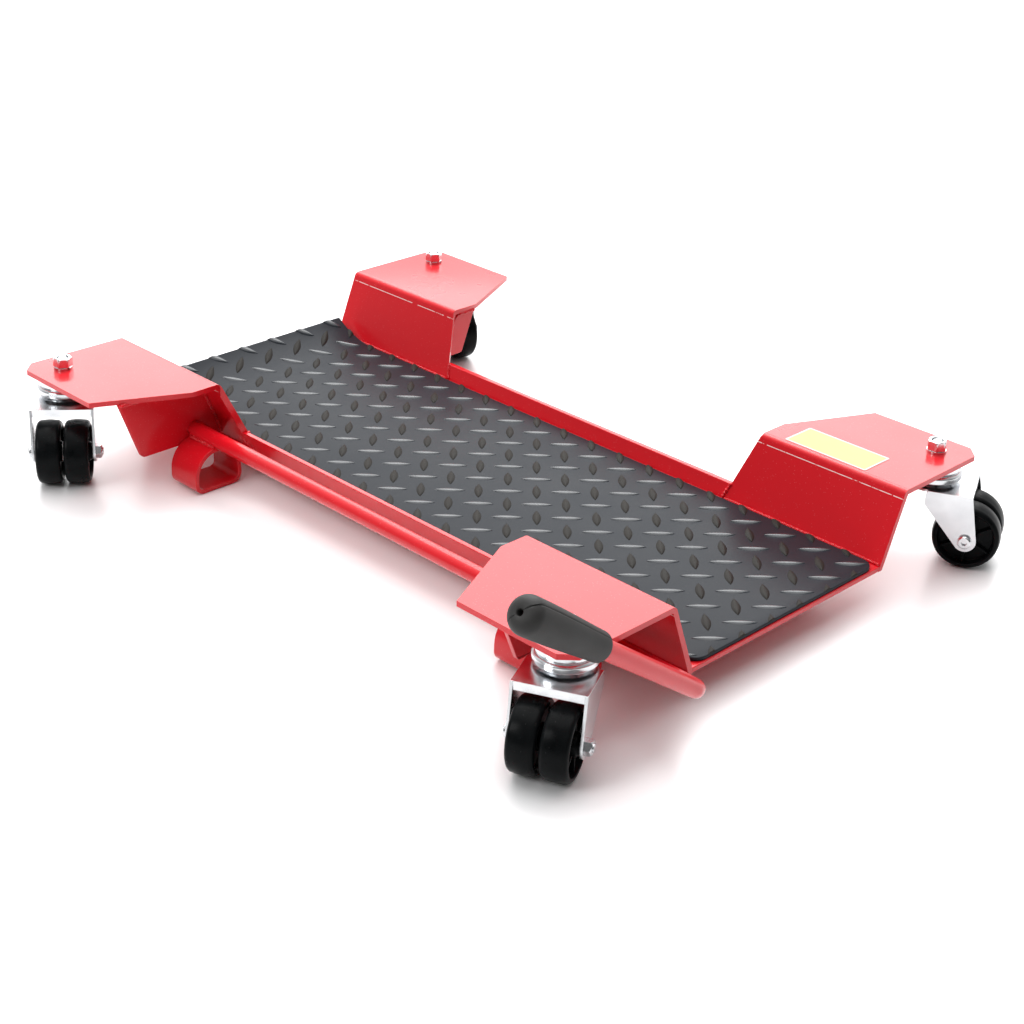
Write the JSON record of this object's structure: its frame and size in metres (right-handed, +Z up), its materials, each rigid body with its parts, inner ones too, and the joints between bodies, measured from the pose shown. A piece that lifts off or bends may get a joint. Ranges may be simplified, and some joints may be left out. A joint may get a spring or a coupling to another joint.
{
  "type": "motorcycle stand mover dolly",
  "caption": "Low steel dolly tray with a ribbed rubber mat, raised corner brackets on swivel twin-wheel casters, and a lever-turned shaft with loop feet as a floor brake.",
  "frame": {"origin": "on the floor under the centre of the tray", "axes": "+X along the tray towards the lever end, +Y across it away from the brake shaft, +Z up"},
  "size_m": [0.634, 0.5388, 0.1642],
  "materials": {
    "red_paint": "gloss powder coat",
    "mat_rubber": "moulded rubber with raised treads, slight sheen",
    "grip_rubber": "matte moulded rubber",
    "wheel_plastic": "satin moulded plastic",
    "bright_zinc": "bright zinc plate",
    "ball_steel": "polished",
    "label_film": "satin printed film, blank"
  },
  "bodies": {
    "frame": {"deck_tray": "red_paint", "rubber_mat": "mat_rubber", "blank_label": "label_film", "bracket_front_left": "red_paint", "gusset_front_left": "red_paint", "stud_front_left": "bright_zinc", "lock_washer_front_left": "bright_zinc", "stud_nut_front_left": "bright_zinc", "bearing_cup_front_left": "bright_zinc", "bearing_balls_front_left": "ball_steel", "bracket_rear_left": "red_paint", "gusset_rear_left": "red_paint", "stud_rear_left": "bright_zinc", "lock_washer_rear_left": "bright_zinc", "stud_nut_rear_left": "bright_zinc", "bearing_cup_rear_left": "bright_zinc", "bearing_balls_rear_left": "ball_steel", "bracket_rear_right": "red_paint", "gusset_rear_right": "red_paint", "stud_rear_right": "bright_zinc", "lock_washer_rear_right": "bright_zinc", "stud_nut_rear_right": "bright_zinc", "bearing_cup_rear_right": "bright_zinc", "bearing_balls_rear_right": "ball_steel", "bracket_front_right": "red_paint", "gusset_front_right": "red_paint", "stud_front_right": "bright_zinc", "lock_washer_front_right": "bright_zinc", "stud_nut_front_right": "bright_zinc", "bearing_cup_front_right": "bright_zinc", "bearing_balls_front_right": "ball_steel"},
    "brake_lever": {"brake_shaft": "red_paint", "brake_grip": "grip_rubber", "brake_foot_left": "red_paint", "brake_foot_right": "red_paint"},
    "swivel_front_left": {"fork_front_left": "bright_zinc", "axle_front_left": "bright_zinc", "axle_nut_front_left": "bright_zinc"},
    "wheel_a_front_left": {"wheel_a_front_left": "wheel_plastic"},
    "wheel_b_front_left": {"wheel_b_front_left": "wheel_plastic"},
    "swivel_rear_left": {"fork_rear_left": "bright_zinc", "axle_rear_left": "bright_zinc", "axle_nut_rear_left": "bright_zinc"},
    "wheel_a_rear_left": {"wheel_a_rear_left": "wheel_plastic"},
    "wheel_b_rear_left": {"wheel_b_rear_left": "wheel_plastic"},
    "swivel_rear_right": {"fork_rear_right": "bright_zinc", "axle_rear_right": "bright_zinc", "axle_nut_rear_right": "bright_zinc"},
    "wheel_a_rear_right": {"wheel_a_rear_right": "wheel_plastic"},
    "wheel_b_rear_right": {"wheel_b_rear_right": "wheel_plastic"},
    "swivel_front_right": {"fork_front_right": "bright_zinc", "axle_front_right": "bright_zinc", "axle_nut_front_right": "bright_zinc"},
    "wheel_a_front_right": {"wheel_a_front_right": "wheel_plastic"},
    "wheel_b_front_right": {"wheel_b_front_right": "wheel_plastic"}
  },
  "joints": [
    {"name": "brake_turn", "type": "hinge", "parent": "frame", "child": "brake_lever", "pos_m": [0, -0.1335, 0.0399], "axis": [-1, 0, 0], "range_deg": [0, 100]},
    {"name": "swivel_front_left", "type": "hinge", "parent": "frame", "child": "swivel_front_left", "pos_m": [-0.271, -0.196, 0.06], "axis": [0, 0, 1], "continuous": true},
    {"name": "spin_a_front_left", "type": "hinge", "parent": "swivel_front_left", "child": "wheel_a_front_left", "pos_m": [-0.24677, -0.21534, 0.025], "axis": [0.6239, 0.7815, 0], "continuous": true},
    {"name": "spin_b_front_left", "type": "hinge", "parent": "swivel_front_left", "child": "wheel_b_front_left", "pos_m": [-0.24677, -0.21534, 0.025], "axis": [0.6239, 0.7815, 0], "continuous": true},
    {"name": "swivel_rear_left", "type": "hinge", "parent": "frame", "child": "swivel_rear_left", "pos_m": [-0.271, 0.196, 0.06], "axis": [0, 0, 1], "continuous": true},
    {"name": "spin_a_rear_left", "type": "hinge", "parent": "swivel_rear_left", "child": "wheel_a_rear_left", "pos_m": [-0.24145, 0.18663, 0.025], "axis": [0.3024, 0.9532, 0], "continuous": true},
    {"name": "spin_b_rear_left", "type": "hinge", "parent": "swivel_rear_left", "child": "wheel_b_rear_left", "pos_m": [-0.24145, 0.18663, 0.025], "axis": [0.3024, 0.9532, 0], "continuous": true},
    {"name": "swivel_rear_right", "type": "hinge", "parent": "frame", "child": "swivel_rear_right", "pos_m": [0.271, 0.196, 0.06], "axis": [0, 0, 1], "continuous": true},
    {"name": "spin_a_rear_right", "type": "hinge", "parent": "swivel_rear_right", "child": "wheel_a_rear_right", "pos_m": [0.29877, 0.20978, 0.025], "axis": [-0.4446, 0.8957, 0], "continuous": true},
    {"name": "spin_b_rear_right", "type": "hinge", "parent": "swivel_rear_right", "child": "wheel_b_rear_right", "pos_m": [0.29877, 0.20978, 0.025], "axis": [-0.4446, 0.8957, 0], "continuous": true},
    {"name": "swivel_front_right", "type": "hinge", "parent": "frame", "child": "swivel_front_right", "pos_m": [0.271, -0.196, 0.06], "axis": [0, 0, 1], "continuous": true},
    {"name": "spin_a_front_right", "type": "hinge", "parent": "swivel_front_right", "child": "wheel_a_front_right", "pos_m": [0.28469, -0.22381, 0.025], "axis": [0.8973, 0.4415, 0], "continuous": true},
    {"name": "spin_b_front_right", "type": "hinge", "parent": "swivel_front_right", "child": "wheel_b_front_right", "pos_m": [0.28469, -0.22381, 0.025], "axis": [0.8973, 0.4415, 0], "continuous": true}
  ]
}
